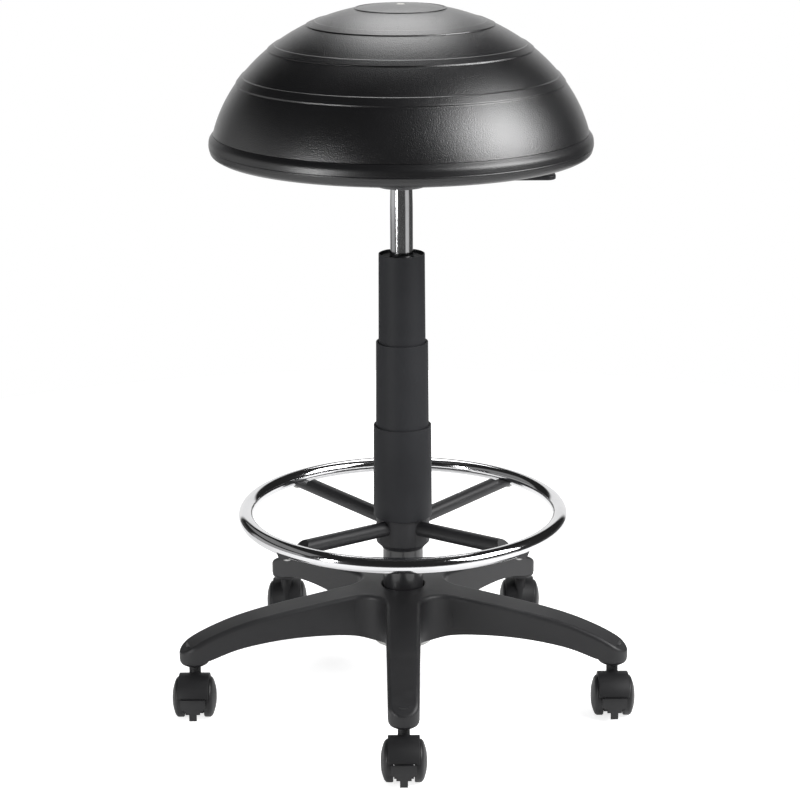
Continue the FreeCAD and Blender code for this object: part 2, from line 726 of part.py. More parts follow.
def make_seat_pan():
    """Round moulded pan: rolled rim round the ball's foot, floor, mounting pad and radial ribs."""
    floor_low = pan_floor - pan_thickness
    rim_top = dome_seam_height - seam_gap
    outside = [(dome_radius - 4.4, rim_top), (rim_radius - 1.0, rim_top - 6.0),
               (rim_radius, rim_widest), (rim_radius - 2.4, rim_bottom + 3.6), (rim_radius - 8.0, rim_bottom)]
    inside = (rim_inner_radius, rim_top)
    edges = [smooth_edge(outside), straight(outside[-1], (0, floor_low)),
             straight((0, floor_low), (0, pan_floor)), straight((0, pan_floor), (inside[0], pan_floor)),
             straight((inside[0], pan_floor), inside), straight(inside, outside[0])]
    shell = Part.Face(Part.Wire(Part.__sortEdges__(edges))).revolve(origin, up, 360)
    pad = tube(0, pan_pad_radius, plate_bottom + plate_thickness, floor_low + 1)
    rib_side = face_in_xz([(pan_pad_radius - 2, pan_rib_bottom), (pan_pad_radius - 2, floor_low + 1),
                           (pan_rib_end, floor_low + 1), (pan_rib_end, floor_low)])
    rib_side.translate(Vector(0, -1.5, 0))
    rib = rib_side.extrude(Vector(0, 3.0, 0))
    ring = tube(pan_ring_rib_radius, pan_ring_rib_radius + 3.0, pan_rib_bottom + 3.0, floor_low + 1)
    pan = joined([shell, pad, ring] + around(rib, pan_rib_count, 15.0))
    for x, y in bolt_places():
        pan = pan.cut(Part.makeCylinder(3.2, 9.0, Vector(x, y, plate_bottom)))
    return pan.cut(Part.makeCylinder(boss_radius - 2, 4.0, Vector(0, 0, plate_bottom)))


def bolt_places():
    """Centres of the four mounting bolts."""
    return [(x, y) for x in (-bolt_offset, bolt_offset) for y in (-bolt_offset, bolt_offset)]


def make_mounting_plate():
    """Pressed steel plate with rounded corners under the pan, pierced for the boss and bolts."""
    plate = block((-plate_half_size, plate_half_size), (-plate_half_size, plate_half_size),
                  (plate_bottom, plate_bottom + plate_thickness))
    corners = [e for e in plate.Edges if abs(e.BoundBox.ZLength - plate_thickness) < 0.1]
    plate = plate.makeFillet(plate_corner, corners)
    bead = tube(46.0, 50.0, plate_bottom - 2.0, plate_bottom)
    plate = plate.fuse(bead).cut(tube(0, boss_radius - 6, 600, 700))
    for x, y in bolt_places():
        plate = plate.cut(Part.makeCylinder(3.2, 9.0, Vector(x, y, plate_bottom - 2)))
    return plate


def make_plate_bolts():
    """Four hexagon bolts with their washers, up through the plate into the pan."""
    bolts = []
    for x, y in bolt_places():
        washer = tube(0, 8.0, plate_bottom - 1.4, plate_bottom)
        sides = [Vector(6.2 * math.cos(math.pi * k / 3), 6.2 * math.sin(math.pi * k / 3), plate_bottom - 5.6)
                 for k in range(6)]
        head = Part.Face(Part.makePolygon(sides + sides[:1])).extrude(up * 4.4)
        shank = tube(0, 3.0, plate_bottom - 2.0, plate_bottom + 8.6)
        bolt = joined([washer, head, shank])
        bolt.translate(Vector(x, y, 0))
        bolts.append(bolt)
    return Part.makeCompound(bolts)


def make_taper_boss():
    """Boss under the plate: taper for the cylinder, and a pocket and slot for the lever."""
    top = plate_bottom
    body = turned([(0, boss_bottom), (20, boss_bottom), (30, boss_bottom + 2.2),
                   (boss_radius, boss_shoulder), (boss_radius, top), (0, top)])
    socket_slope = (cylinder_radius - cylinder_top_radius) / (cylinder_top - cylinder_taper_start)
    mouth = cylinder_radius - socket_slope * (boss_bottom - cylinder_taper_start)
    body = body.cut(turned([(0, boss_bottom), (mouth, boss_bottom), (cylinder_top_radius, cylinder_top),
                            (0, cylinder_top)]))
    body = body.cut(tube(0, 11.0, cylinder_top - 1, top + 1))
    body = body.cut(block((-4, 60), (-7.0, 7.0), (654.0, top + 1)).cut(tube(0, 16.0, 640, cylinder_top)))
    return body.cut(rod(Vector(lever_pivot_x, -16, lever_pivot_z), Vector(lever_pivot_x, 16, lever_pivot_z),
                        pin_radius))


def make_lever_pin():
    """Pin that the lever tilts on, pressed into the boss."""
    return rod(Vector(lever_pivot_x, -15.5, lever_pivot_z), Vector(lever_pivot_x, 15.5, lever_pivot_z),
               pin_radius)


def make_lever_rod():
    """Steel lever: finger over the release button, eye on the pin and a rod out to the paddle."""
    width = Vector(0, 2 * finger_half_width, 0)
    edge = Vector(0, -finger_half_width, 0)
    finger = face_in_xz([(finger_end, finger_bottom), (16.0, finger_bottom), (20.0, lever_pivot_z - 4.6),
                         (lever_start + 8, lever_pivot_z - 5.4), (lever_start + 8, lever_pivot_z + 1.6),
                         (28.0, lever_pivot_z + 4.6), (14.0, finger_bottom + 2.6),
                         (finger_end, finger_bottom + 2.6)])
    finger.translate(edge)
    finger = finger.extrude(width)
    start = Vector(lever_start, 0, lever_pivot_z - 1.6)
    bar = rod(start, Vector(lever_tip - 12, 0, lever_tip_height), lever_rod_radius - 0.4)
    eye = rod(Vector(lever_pivot_x, -20, lever_pivot_z), Vector(lever_pivot_x, 20, lever_pivot_z),
              pin_radius + running_clearance)
    return joined([finger, bar]).cut(eye)


def make_lever_paddle():
    """Flat moulded grip on the lever's outer end."""
    half = paddle_thickness / 2
    grip = block((paddle_start, lever_tip), (-paddle_half_width, paddle_half_width),
                 (lever_tip_height - half, lever_tip_height + half))
    tall = [e for e in grip.Edges if abs(e.BoundBox.ZLength - paddle_thickness) < 0.1]
    outer = [e for e in tall if e.CenterOfMass.x > lever_tip - 1]
    inner = [e for e in tall if e.CenterOfMass.x < lever_tip - 1]
    grip = grip.makeFillet(11.0, outer).makeFillet(6.0, inner)
    rims = [e for e in grip.Edges if e.BoundBox.ZLength < 0.1]
    grip = grip.makeFillet(1.8, rims)
    return grip.cut(make_lever_rod())


def main():
    """Write every sub-part."""
    os.makedirs("parts", exist_ok=True)
    save("star_base", make_star_base())
    save("hub_band", make_hub_band())
    save("stem_sockets", make_stem_sockets())
    save("column_tube", make_column_tube())
    save("guide_sleeve", make_guide_sleeve())
    save("bearing_race", make_bearing_race())
    save("bearing_cage", make_bearing_cage())
    save("rubber_buffer", make_rubber_buffer())
    save("piston_rod", make_piston_rod())
    save("retaining_clip", make_retaining_clip())
    save("gas_cylinder", make_gas_cylinder())
    save("release_button", make_release_button())
    save("lower_cover", make_lower_cover())
    save("middle_cover", make_middle_cover())
    save("upper_cover", make_upper_cover())
    save("foot_ring", make_foot_ring())
    save("foot_ring_collar", make_foot_ring_collar())
    save("grip_collet", make_grip_collet())
    save("foot_ring_spokes", make_spokes())
    save("ring_screws", make_ring_screws())
    save("ball_dome", make_ball_dome())
    save("valve_plug", make_valve_plug())
    save("seat_pan", make_seat_pan())
    save("mounting_plate", make_mounting_plate())
    save("plate_bolts", make_plate_bolts())
    save("taper_boss", make_taper_boss())
    save("lever_pin", make_lever_pin())
    save("lever_rod", make_lever_rod())
    save("lever_paddle", make_lever_paddle())
    castor = {"castor_hood": make_castor_hood(), "castor_stem": make_castor_stem(),
              "castor_axle": make_castor_axle(), "wheel_left": make_wheel(1),
              "wheel_right": make_wheel(-1), "brake_pedal": make_brake_pedal()}
    for index in range(arm_count):
        for name, shape in castor.items():
            save("%s_%d" % (name, index + 1), placed_castor(shape, index))


main()
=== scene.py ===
# %% [markdown]
# # A half-ball stool on castors
#
# The stool has a seat that is half of an air-filled ball, a telescopic cover over its gas lift,
# a chromed foot ring and a moulded base with five castors. The frame below already holds every
# rigid piece at its real size. These cells give each piece its finish, and make again the pieces
# whose look needs a finer mesh than the frame carries: the ball and its pan, the covers, the
# chromed ring, the small fasteners, and the castors' hoods and pedals with their soft edges.

# %% The frame comes first
import bpy
import bmesh
import json
import math
from mathutils import Matrix, Vector

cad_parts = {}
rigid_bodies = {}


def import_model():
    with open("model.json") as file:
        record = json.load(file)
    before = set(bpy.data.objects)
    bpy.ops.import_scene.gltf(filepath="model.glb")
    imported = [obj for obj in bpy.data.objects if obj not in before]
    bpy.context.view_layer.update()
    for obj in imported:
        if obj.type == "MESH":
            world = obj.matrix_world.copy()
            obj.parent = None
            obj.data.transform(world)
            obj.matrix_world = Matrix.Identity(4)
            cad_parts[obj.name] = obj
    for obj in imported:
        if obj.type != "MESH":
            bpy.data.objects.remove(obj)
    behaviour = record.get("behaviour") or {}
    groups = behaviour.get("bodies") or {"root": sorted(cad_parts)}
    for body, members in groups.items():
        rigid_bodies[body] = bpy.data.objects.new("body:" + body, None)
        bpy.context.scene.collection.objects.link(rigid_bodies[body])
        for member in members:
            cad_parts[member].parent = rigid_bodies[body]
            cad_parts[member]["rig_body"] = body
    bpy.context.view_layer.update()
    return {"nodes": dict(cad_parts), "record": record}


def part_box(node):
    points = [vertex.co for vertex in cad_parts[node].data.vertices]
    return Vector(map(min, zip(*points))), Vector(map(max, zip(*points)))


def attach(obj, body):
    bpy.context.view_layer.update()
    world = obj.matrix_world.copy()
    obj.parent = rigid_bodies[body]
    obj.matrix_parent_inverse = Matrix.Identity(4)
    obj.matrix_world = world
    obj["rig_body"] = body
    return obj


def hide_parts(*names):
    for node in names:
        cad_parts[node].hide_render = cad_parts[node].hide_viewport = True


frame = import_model()
mm = 0.001

# %% [markdown]
# ## Writing node trees as sums
#
# A finish is a little sum: so much grain, less where the surface is worn. Nodes can be wired by
# hand, but twenty wires hide a simple idea. Here a class wraps one output socket and answers to
# + - * and so on, so the sum is written as a sum and each step becomes one Math node. Every other
# kind of node comes from the one method called node.

# %% A signal and the bench it lives on
class Signal:
    """One output socket of a node tree that can be added, multiplied and so on."""

    def __init__(self, bench, socket):
        self.bench = bench
        self.socket = socket

    def maths(self, operation, *others):
        terms = dict(enumerate((self, *others)))
        return self.bench.node("ShaderNodeMath", {"operation": operation}, terms)

    def __add__(self, other):
        return self.maths("ADD", other)

    def __sub__(self, other):
        return self.maths("SUBTRACT", other)

    def __rsub__(self, other):
        return self.bench.node("ShaderNodeMath", {"operation": "SUBTRACT"}, {0: other, 1: self})

    def __mul__(self, other):
        return self.maths("MULTIPLY", other)

    def __truediv__(self, other):
        return self.maths("DIVIDE", other)

    __radd__ = __add__
    __rmul__ = __mul__


class Bench:
    """A node tree with one way to add a node, set it and wire it."""

    def __init__(self, tree):
        self.tree = tree

    def node(self, kind, settings=None, sockets=None, output=0):
        made = self.tree.nodes.new(kind)
        for name, value in (settings or {}).items():
            if name == "stops":
                for stop, (place, grey) in zip(made.color_ramp.elements, value):
                    stop.position = place
                    stop.color = (grey, grey, grey, 1)
            else:
                setattr(made, name, value)
        for name, value in (sockets or {}).items():
            self.feed(made.inputs[name], value)
        return Signal(self, made.outputs[output])

    def feed(self, socket, value):
        if isinstance(value, Signal):
            self.tree.links.new(value.socket, socket)
        else:
            socket.default_value = value

    def between(self, signal, low, high):
        """Goes from 0 to 1 as a signal goes from low to high."""
        return self.node("ShaderNodeMapRange", {},
                         {"Value": signal, "From Min": low, "From Max": high})


print("helpers ready")

# %% [markdown]
# ## What a finish starts from
#
# Every finish here is one Principled shader. Numbers that hold all over the surface are set on
# its own sockets. Only colour, roughness, metal and the surface normal vary from place to place.
# Patterns read Object coordinates: each piece's mesh already lies in the stool's own frame, so one
# metre of pattern is one metre of stool.

# %% The start of every finish
class Finish(Bench):
    """A material with a Principled shader and helpers for its pattern."""

    def __init__(self, name, colour, roughness, **constants):
        self.material = bpy.data.materials.new(name)
        self.material.use_nodes = True
        self.material.diffuse_color = (*colour, 1)
        super().__init__(self.material.node_tree)
        self.shader = self.tree.nodes["Principled BSDF"]
        self.shader.inputs["Base Color"].default_value = (*colour, 1)
        self.shader.inputs["Roughness"].default_value = roughness
        for label, value in constants.items():
            self.shader.inputs[label.replace("_", " ")].default_value = value
        self.place = self.node("ShaderNodeTexCoord", output="Object")

    def noise(self, scale, detail=2.0, where=None):
        return self.node("ShaderNodeTexNoise", {},
                         {"Vector": where or self.place, "Scale": scale, "Detail": detail})

    def cells(self, scale):
        return self.node("ShaderNodeTexVoronoi", {"feature": "SMOOTH_F1"},
                         {"Vector": self.place, "Scale": scale, "Smoothness": 0.6})

    def stretched(self, x, y, z):
        return self.node("ShaderNodeMapping", {}, {"Vector": self.place, "Scale": (x, y, z)})

    def tint(self, amount, one, other):
        """Colour that runs from one to the other as amount goes from 0 to 1."""
        return self.node("ShaderNodeMix", {"data_type": "RGBA"},
                         {0: amount, 6: (*one, 1), 7: (*other, 1)}, output=2)

    def set(self, label, value):
        self.feed(self.shader.inputs[label], value)

    def bump(self, height, strength, distance):
        bumped = self.node("ShaderNodeBump", {},
                           {"Height": height, "Strength": strength, "Distance": distance})
        self.set("Normal", bumped)


print("finish class ready")

# %% [markdown]
# ## Rubber with a pearl grain
#
# The ball is blown from soft black rubber in a sand-blasted mould. Its skin carries a fine even
# grain finer than a millimetre, which breaks every highlight into sparks. Noise alone looks like
# dust, so the bump here is rounded cells with a finer noise over them. The noise and some slow
# clouds also change the roughness a little, which stops large areas from looking computed. The
# pan's rim comes from the same kind of mould, so it shares the rule with a shallower grain.

# %% Rubber finish
rubber_plain, rubber_dark, rubber_pale = ((0.0055, 0.0055, 0.006), (0.004, 0.004, 0.0045),
                                          (0.008, 0.008, 0.009))
pearls_per_metre = 760
dust_per_metre = 1500


def pearled(name, smoothest, grain_depth, shine):
    """Rubber or plastic from a sand-blasted mould. The grain's depth is in millimetres."""
    finish = Finish(name, rubber_plain, smoothest + 0.1, Specular_IOR_Level=shine)
    clouds = finish.noise(9, 3)
    pearls = finish.cells(pearls_per_metre)
    dust = finish.noise(dust_per_metre, 2)
    lifted = finish.between(clouds, 0.35, 0.7)
    finish.set("Base Color", finish.tint(lifted * 0.5 + dust * 0.3, rubber_dark, rubber_pale))
    finish.set("Roughness", smoothest + clouds * 0.05 + dust * 0.08)
    finish.bump((1 - pearls) * 0.6 + dust * 0.5, 0.9, grain_depth * mm)
    return finish.material


print("rubber finish ready")

# %% [markdown]
# ## Moulded plastics
#
# The base, covers, hoods and wheels are black mouldings. What tells them apart is the grain of the
# mould and how dull it is, so one function makes them all from a few numbers. Mouldings show
# faint flow clouds, and their upward faces pick up scuffs and a little dust, which lifts the
# colour and dulls the gloss there. The piece's own normal tells what faces up.

# %% Plastic finish
def moulded(name, colour, roughness, grain, grain_depth, scuffs, shine=0.35):
    """Moulded plastic. Grain is counted to the metre and its depth is in millimetres."""
    finish = Finish(name, colour, roughness, Specular_IOR_Level=shine)
    clouds = finish.noise(14, 3)
    fine = finish.noise(grain, 3)
    streaks = finish.noise(60, 4, finish.stretched(1.0, 1.0, 5.0))
    normal = finish.node("ShaderNodeTexCoord", output="Normal")
    rise = finish.node("ShaderNodeSeparateXYZ", {}, {0: normal}, output="Z")
    upward = finish.between(rise, 0.4, 1.0)
    worn = finish.between(streaks, 0.52, 0.72) * upward * scuffs
    lighter = [channel * 1.7 + 0.012 for channel in colour]
    darker = [channel * 0.8 for channel in colour]
    finish.set("Base Color", finish.tint(clouds * 0.45 + worn * 0.5, darker, lighter))
    finish.set("Roughness", roughness - 0.04 + clouds * 0.08 + fine * 0.06 + worn * 0.12)
    finish.bump(fine + streaks * 0.15, 0.35, grain_depth * mm)
    return finish.material


print("plastic finish ready")

# %% [markdown]
# ## Chrome, zinc and enamel
#
# Plated steel is a mirror that isn't quite flat: a faint waviness bends the reflections, and
# hair-fine polishing marks spread them along one way. Zinc is the same metal with a duller,
# patchier skin. The stand tube is sprayed with gloss enamel, which is a colour under a clear coat
# with the slight ripple of sprayed paint. The plate and the spokes have the same paint, duller.
#
# Each finish is then one row of a table, under the name that the record gives it.

# %% Metal finishes
def plated(name, colour, roughness, marks):
    """Chrome or zinc. Marks is how much the skin is worn by patches and scratches."""
    finish = Finish(name, colour, roughness, Metallic=1.0)
    ripple = finish.noise(45, 1)
    scratches = finish.noise(500, 2, finish.stretched(1.0, 1.0, 0.06))
    patches = finish.between(finish.noise(24, 4), 0.45, 0.75)
    duller = [channel * 0.86 for channel in colour]
    finish.set("Base Color", finish.tint(patches * marks, colour, duller))
    finish.set("Roughness", roughness + patches * 0.06 * marks + scratches * 0.08 * marks)
    finish.bump(ripple * 0.7 + scratches * 0.3 * marks, 0.25, 0.06 * mm)
    return finish.material


def enamel(name, colour, roughness, coat):
    """Sprayed paint under a clear coat, which may be none."""
    finish = Finish(name, colour, roughness, Coat_Weight=coat, Coat_Roughness=0.08)
    peel = finish.noise(260, 1)
    clouds = finish.noise(18, 3)
    lighter = [channel * 1.5 + 0.003 for channel in colour]
    finish.set("Base Color", finish.tint(clouds, colour, lighter))
    finish.set("Roughness", roughness + clouds * 0.08)
    finish.bump(peel, 0.12, 0.08 * mm)
    return finish.material


mouldings = {  # colour, roughness, grain, its depth, scuffs, and shine where it isn't the usual
    "plug_plastic": ((0.62, 0.61, 0.58), 0.45, 900, 0.05, 0.2),
    "base_nylon": ((0.011, 0.011, 0.0122), 0.45, 1100, 0.1, 0.4, 0.42),
    "cover_plastic": ((0.0165, 0.017, 0.0192), 0.55, 1400, 0.05, 0.1, 0.18),
    "guide_acetal": ((0.6, 0.59, 0.55), 0.4, 900, 0.04, 0.1),
    "buffer_rubber": ((0.025, 0.025, 0.025), 0.6, 700, 0.1, 0.1),
    "collar_plastic": ((0.015, 0.015, 0.017), 0.5, 1200, 0.07, 0.2),
    "hood_nylon": ((0.008, 0.008, 0.009), 0.5, 1100, 0.09, 0.3),
    "wheel_nylon": ((0.009, 0.009, 0.010), 0.42, 1000, 0.06, 0.2),
    "pedal_nylon": ((0.012, 0.012, 0.013), 0.4, 1300, 0.05, 0.2),
    "lever_plastic": ((0.018, 0.018, 0.02), 0.4, 1200, 0.05, 0.2),
}
platings = {  # colour, roughness and marks
    "ring_chrome": ((0.72, 0.72, 0.73), 0.07, 0.4),
    "cylinder_chrome": ((0.66, 0.66, 0.67), 0.1, 0.8),
    "bright_steel": ((0.5, 0.5, 0.49), 0.26, 1.0),
}
enamels = {  # colour, roughness and coat
    "black_steel": ((0.013, 0.013, 0.014), 0.28, 0.5),
    "plate_steel": ((0.02, 0.02, 0.022), 0.5, 0.1),
    "spoke_steel": ((0.007, 0.007, 0.008), 0.4, 0.0),
}
finishes = {"seat_rubber": pearled("pearl_rubber", 0.24, 0.32, 0.9),
            "pan_plastic": pearled("pan_plastic", 0.28, 0.2, 0.7)}
for rule, rows in ((moulded, mouldings), (plated, platings), (enamel, enamels)):
    for name, row in rows.items():
        finishes[name] = rule(name, *row)
print("finishes:", len(finishes))

# %% [markdown]
# ## Every rigid piece gets its finish
#
# The record names a finish for each node. Assigning the material to the node's own slots leaves
# its shape alone, which is all that most pieces here need.

# %% Finish the frame's own pieces
node_slots = {part["node"]: part["material_slot"] for part in frame["record"]["subparts"]}
node_bodies = {node: piece["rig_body"] for node, piece in frame["nodes"].items()}
for node, piece in frame["nodes"].items():
    piece.data.materials.clear()
    piece.data.materials.append(finishes[node_slots[node]])
print("finished nodes:", len(node_slots))

# %% [markdown]
# ## A lathe made of nodes
#
# Much of this stool is turned: the ball, the pan, the covers, the ring, the washers. A lathe
# follows a simple rule, which is what Geometry Nodes is for. The object holds only an outline, as
# points of radius and height. The tree lays a grid with one row for each point and one column for
# each step round, reads the outline back for every grid point, and wraps the grid round the axis.
# A Spin in mesh code would give the same form, but the tree stays one rule for all of them.

# %% Open and close a geometry tree
def open_tree(name, sockets, result):
    """Bench on a new geometry tree, and one signal for each of its named inputs."""
    tree = bpy.data.node_groups.new(name, "GeometryNodeTree")
    for label, kind in sockets.items():
        tree.interface.new_socket(label, in_out="INPUT", socket_type="NodeSocket" + kind)
    tree.interface.new_socket(result, in_out="OUTPUT", socket_type="NodeSocketGeometry")
    bench = Bench(tree)
    inputs = tree.nodes.new("NodeGroupInput")
    return bench, [Signal(bench, inputs.outputs[k]) for k in range(len(sockets))]


def close_tree(bench, geometry, finish):
    """Make any instances real, give the geometry its finish and hand it out."""
    real = bench.node("GeometryNodeRealizeInstances", {}, {"Geometry": geometry})
    dressed = bench.node("GeometryNodeSetMaterial", {}, {"Geometry": real, "Material": finish})
    group_output = bench.tree.nodes.new("NodeGroupOutput")
    bench.tree.links.new(dressed.socket, group_output.inputs[0])
    return bench.tree


print("tree helpers ready")

# %% The lathe tree
def lathe_tree():
    bench, (outline, steps, finish) = open_tree(
        "lathe", {"Outline": "Geometry", "Steps": "Int", "Finish": "Material"}, "Turned")
    rows = bench.node("GeometryNodeAttributeDomainSize", {"component": "MESH"},
                      {"Geometry": outline})
    grid = bench.node("GeometryNodeMeshGrid", {}, {"Vertices X": steps + 1, "Vertices Y": rows})
    index = bench.node("GeometryNodeInputIndex")
    row = index.maths("MODULO", rows)
    column = (index / rows).maths("FLOOR")
    position = bench.node("GeometryNodeInputPosition")
    point = bench.node("GeometryNodeSampleIndex", {"data_type": "FLOAT_VECTOR"},
                       {"Geometry": outline, "Value": position, "Index": row})
    radius = bench.node("ShaderNodeSeparateXYZ", {}, {0: point}, output="X")
    height = bench.node("ShaderNodeSeparateXYZ", {}, {0: point}, output="Z")
    angle = column / steps * (2 * math.pi)
    wrapped = bench.node("ShaderNodeCombineXYZ", {},
                         {"X": radius * angle.maths("COSINE"), "Y": radius * angle.maths("SINE"),
                          "Z": height})
    moved = bench.node("GeometryNodeSetPosition", {}, {"Geometry": grid, "Position": wrapped})
    closed = bench.node("GeometryNodeMergeByDistance", {},
                        {"Geometry": moved, "Distance": 0.002 * mm})
    return close_tree(bench, closed, finish)


lathe = lathe_tree()
print("lathe nodes:", len(lathe.nodes))

# %% [markdown]
# ## From a tree to a plain mesh
#
# Each tree is run once, its result kept and the modifier dropped, so the finished stool is made of
# plain meshes. An input of the modifier is known by its socket's identifier, and it has to be set
# before the object is first evaluated. The mesh is then tidied in three ways: doubles are merged,
# normals are turned outwards, and edges sharper than a limit stay crisp.

# %% Run a tree and keep its mesh
def put(name, data):
    """New object in the scene for a mesh, a lamp or a camera."""
    thing = bpy.data.objects.new(name, data)
    bpy.context.scene.collection.objects.link(thing)
    return thing


def evaluated_mesh(thing):
    """Plain mesh of an object with its modifiers run."""
    graph = bpy.context.evaluated_depsgraph_get()
    return bpy.data.meshes.new_from_object(thing.evaluated_get(graph))


def mesh_of(shape, name):
    """Mesh with what a bmesh holds, which is freed."""
    mesh = bpy.data.meshes.new(name)
    shape.to_mesh(mesh)
    shape.free()
    return mesh


def run_tree(name, mesh, tree, values, crisp=32):
    """Object with the result of a tree run on a mesh. Values are the tree's inputs by name."""
    start = put(name, mesh)
    modifier = start.modifiers.new("rule", "NODES")
    modifier.node_group = tree
    for item in tree.interface.items_tree:
        if item.name in values:
            modifier[item.identifier] = values[item.name]
    start.update_tag()
    kept = evaluated_mesh(start)
    start.modifiers.clear()
    start.data = kept
    kept.name = name
    tidy_mesh(kept, crisp)
    return start


def tidy_mesh(mesh, crisp):
    """Merge doubles, turn normals outwards and keep edges over crisp degrees sharp."""
    shape = bmesh.new()
    shape.from_mesh(mesh)
    bmesh.ops.remove_doubles(shape, verts=shape.verts, dist=0.001 * mm)
    bmesh.ops.dissolve_degenerate(shape, edges=shape.edges, dist=0.001 * mm)
    bmesh.ops.recalc_face_normals(shape, faces=shape.faces)
    shape.to_mesh(mesh)
    shape.free()
    mesh.shade_smooth()
    mesh.set_sharp_from_angle(angle=math.radians(crisp))


def stands_for(piece, node):
    """Put a made piece in the place of a node of the frame: it rides with the node's body and the
    node is hidden.
    """
    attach(piece, node_bodies[node])
    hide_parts(node)
    return piece


def outline_mesh(points):
    """Mesh of bare points from (radius, height) pairs in millimetres."""
    mesh = bpy.data.meshes.new("outline")
    mesh.from_pydata([(radius * mm, 0, height * mm) for radius, height in points], [], [])
    return mesh


def turned(name, node, points, steps=96, crisp=32):
    """Turned piece about the column's axis that stands for a node."""
    values = {"Steps": steps, "Finish": finishes[node_slots[node]]}
    piece = run_tree(name, outline_mesh(points), lathe, values, crisp)
    print(name, "faces:", len(piece.data.polygons))
    return stands_for(piece, node)


def corner(before, at, after, radius, parts=4):
    """Points of a rounded corner between two straight runs of an outline."""
    into, out = (Vector(before) - Vector(at)), (Vector(after) - Vector(at))
    half = into.angle(out) / 2
    reach = min(radius / math.tan(half), 0.45 * into.length, 0.45 * out.length)
    first, last = Vector(at) + into.normalized() * reach, Vector(at) + out.normalized() * reach
    points = []
    for k in range(parts + 1):
        t = k / parts
        points.append((1 - t) ** 2 * first + 2 * t * (1 - t) * Vector(at) + t * t * last)
    return points


def rounded(points, radius, closed=True):
    """Outline with its corners rounded off. A corner on the axis stays as it is."""
    result = []
    count = len(points)
    for k, at in enumerate(points):
        ends = not closed and k in (0, count - 1)
        if ends or at[0] < 0.01:
            result.append(Vector(at))
        else:
            result += corner(points[k - 1], at, points[(k + 1) % count], radius)
    return result + result[:1] if closed else result


print("lathe helpers ready")

# %% [markdown]
# ## The half ball
#
# From the side the inflated ball isn't a circle: its shoulders are fuller. Its arch follows a
# rounded-square rule, cos and sin raised to powers close to one. Three low bands run round
# it, each with a soft step at both edges, and a thin ring circles the crown. A step catches the
# light on its upper edge and shades on its lower one, and those thin lines are what the eye reads
# first. The outline therefore has close points at each step and few elsewhere. The air inside
# keeps the skin tight, so no cloth is simulated.

# %% Make the ball
ball_radius = 228.8
ball_centre = 676.4
ball_height = 184.2
side_power = 2.047
top_power = 1.873
seam_height = 710.6
band_rise = 0.95
step_width = 1.3
bands = [(53.3, 2.6), (106.4, 10.8), (153.4, 8.2), (191.6, 7.2)]  # middle radius and width
coarse_points = 90
step_points = 7


def arch_point(angle, proud=0.0):
    """Point (radius, height) of the arch at an angle, pushed out by some millimetres."""
    radius = ball_radius * math.cos(angle) ** (2 / side_power)
    height = ball_centre + ball_height * math.sin(angle) ** (2 / top_power)
    outward = Vector((math.cos(angle) / ball_radius, math.sin(angle) / ball_height)).normalized()
    return Vector((radius, height)) + outward * proud


def soft_step(distance):
    """Goes from 0 to 1 over one step's width."""
    t = min(max(distance / step_width + 0.5, 0), 1)
    return t * t * (3 - 2 * t)


def band_height(radius):
    """How far the bands stand proud at a radius."""
    return band_rise * max(soft_step(width / 2 - abs(radius - middle)) for middle, width in bands)


def angle_at(radius):
    """Angle at which the arch has a radius."""
    return math.acos((radius / ball_radius) ** (side_power / 2))


def ball_outline():
    """The arch from the seam to the crown, with close points at each step."""
    seam = math.asin(((seam_height - ball_centre) / ball_height) ** (top_power / 2))
    coarse = [seam + (math.pi / 2 - seam) * k / coarse_points for k in range(coarse_points)]
    close = []
    for middle, width in bands:
        for edge in (middle - width / 2, middle + width / 2):
            close += [angle_at(edge + step_width * (k / 4 - 0.75)) for k in range(step_points)]
    angles = sorted(coarse + close)
    return [arch_point(a, band_height(arch_point(a)[0])) for a in angles]


skin = ball_outline()
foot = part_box("ball_dome")[0].z * 1000
print("ball outline points:", len(skin), "foot at", round(foot, 1))

# %% Close the ball under the seam and over the plug
plug_radius = 5.6
plug_depth = 9.0
crown = ball_centre + ball_height
pocket = [(plug_radius + 0.5, crown), (plug_radius, crown - 0.5),
          (plug_radius, crown - plug_depth), (0, crown - plug_depth)]
seam_radius, seam_level = skin[0]
foot_inner = 217.6
seam_corner = 0.8
under = [(0, foot), (foot_inner - 1.0, foot), (foot_inner, foot + 1.0),
         (foot_inner, seam_level - seam_corner), (foot_inner + seam_corner, seam_level),
         (seam_radius - seam_corner, seam_level)]
skin = [point for point in skin if point[0] > plug_radius + 1.0]
seat_ball = turned("seat_ball", "ball_dome", under + skin + pocket, 224, 50)

# %% [markdown]
# ## Copies round the column
#
# Gussets, screws, bolts and grip fingers all repeat round one axis. The tree takes the first of
# them as its own geometry, puts a point on the axis for each copy, turns each instance by its share
# of a full circle and makes the instances real, so that each result is a plain mesh.

# %% The copying tree
def copies_tree():
    bench, (piece, count, first, finish) = open_tree(
        "round_the_column",
        {"Piece": "Geometry", "Count": "Int", "First Angle": "Float", "Finish": "Material"},
        "Copies")
    points = bench.node("GeometryNodePoints", {}, {"Count": count})
    angle = bench.node("GeometryNodeInputIndex") / count * (2 * math.pi) + first
    turn = bench.node("ShaderNodeCombineXYZ", {}, {"Z": angle})
    rotation = bench.node("FunctionNodeEulerToRotation", {}, {"Euler": turn})
    placed = bench.node("GeometryNodeInstanceOnPoints", {},
                        {"Points": points, "Instance": piece, "Rotation": rotation})
    return close_tree(bench, placed, finish)


copies = copies_tree()


def repeated(name, mesh, count, first_degrees, slot_name, crisp=32):
    """Copies of a mesh that lies off the axis, evenly round it."""
    values = {"Count": count, "First Angle": math.radians(first_degrees),
              "Finish": finishes[slot_name]}
    piece = run_tree(name, mesh, copies, values, crisp)
    print(name, "faces:", len(piece.data.polygons))
    return piece


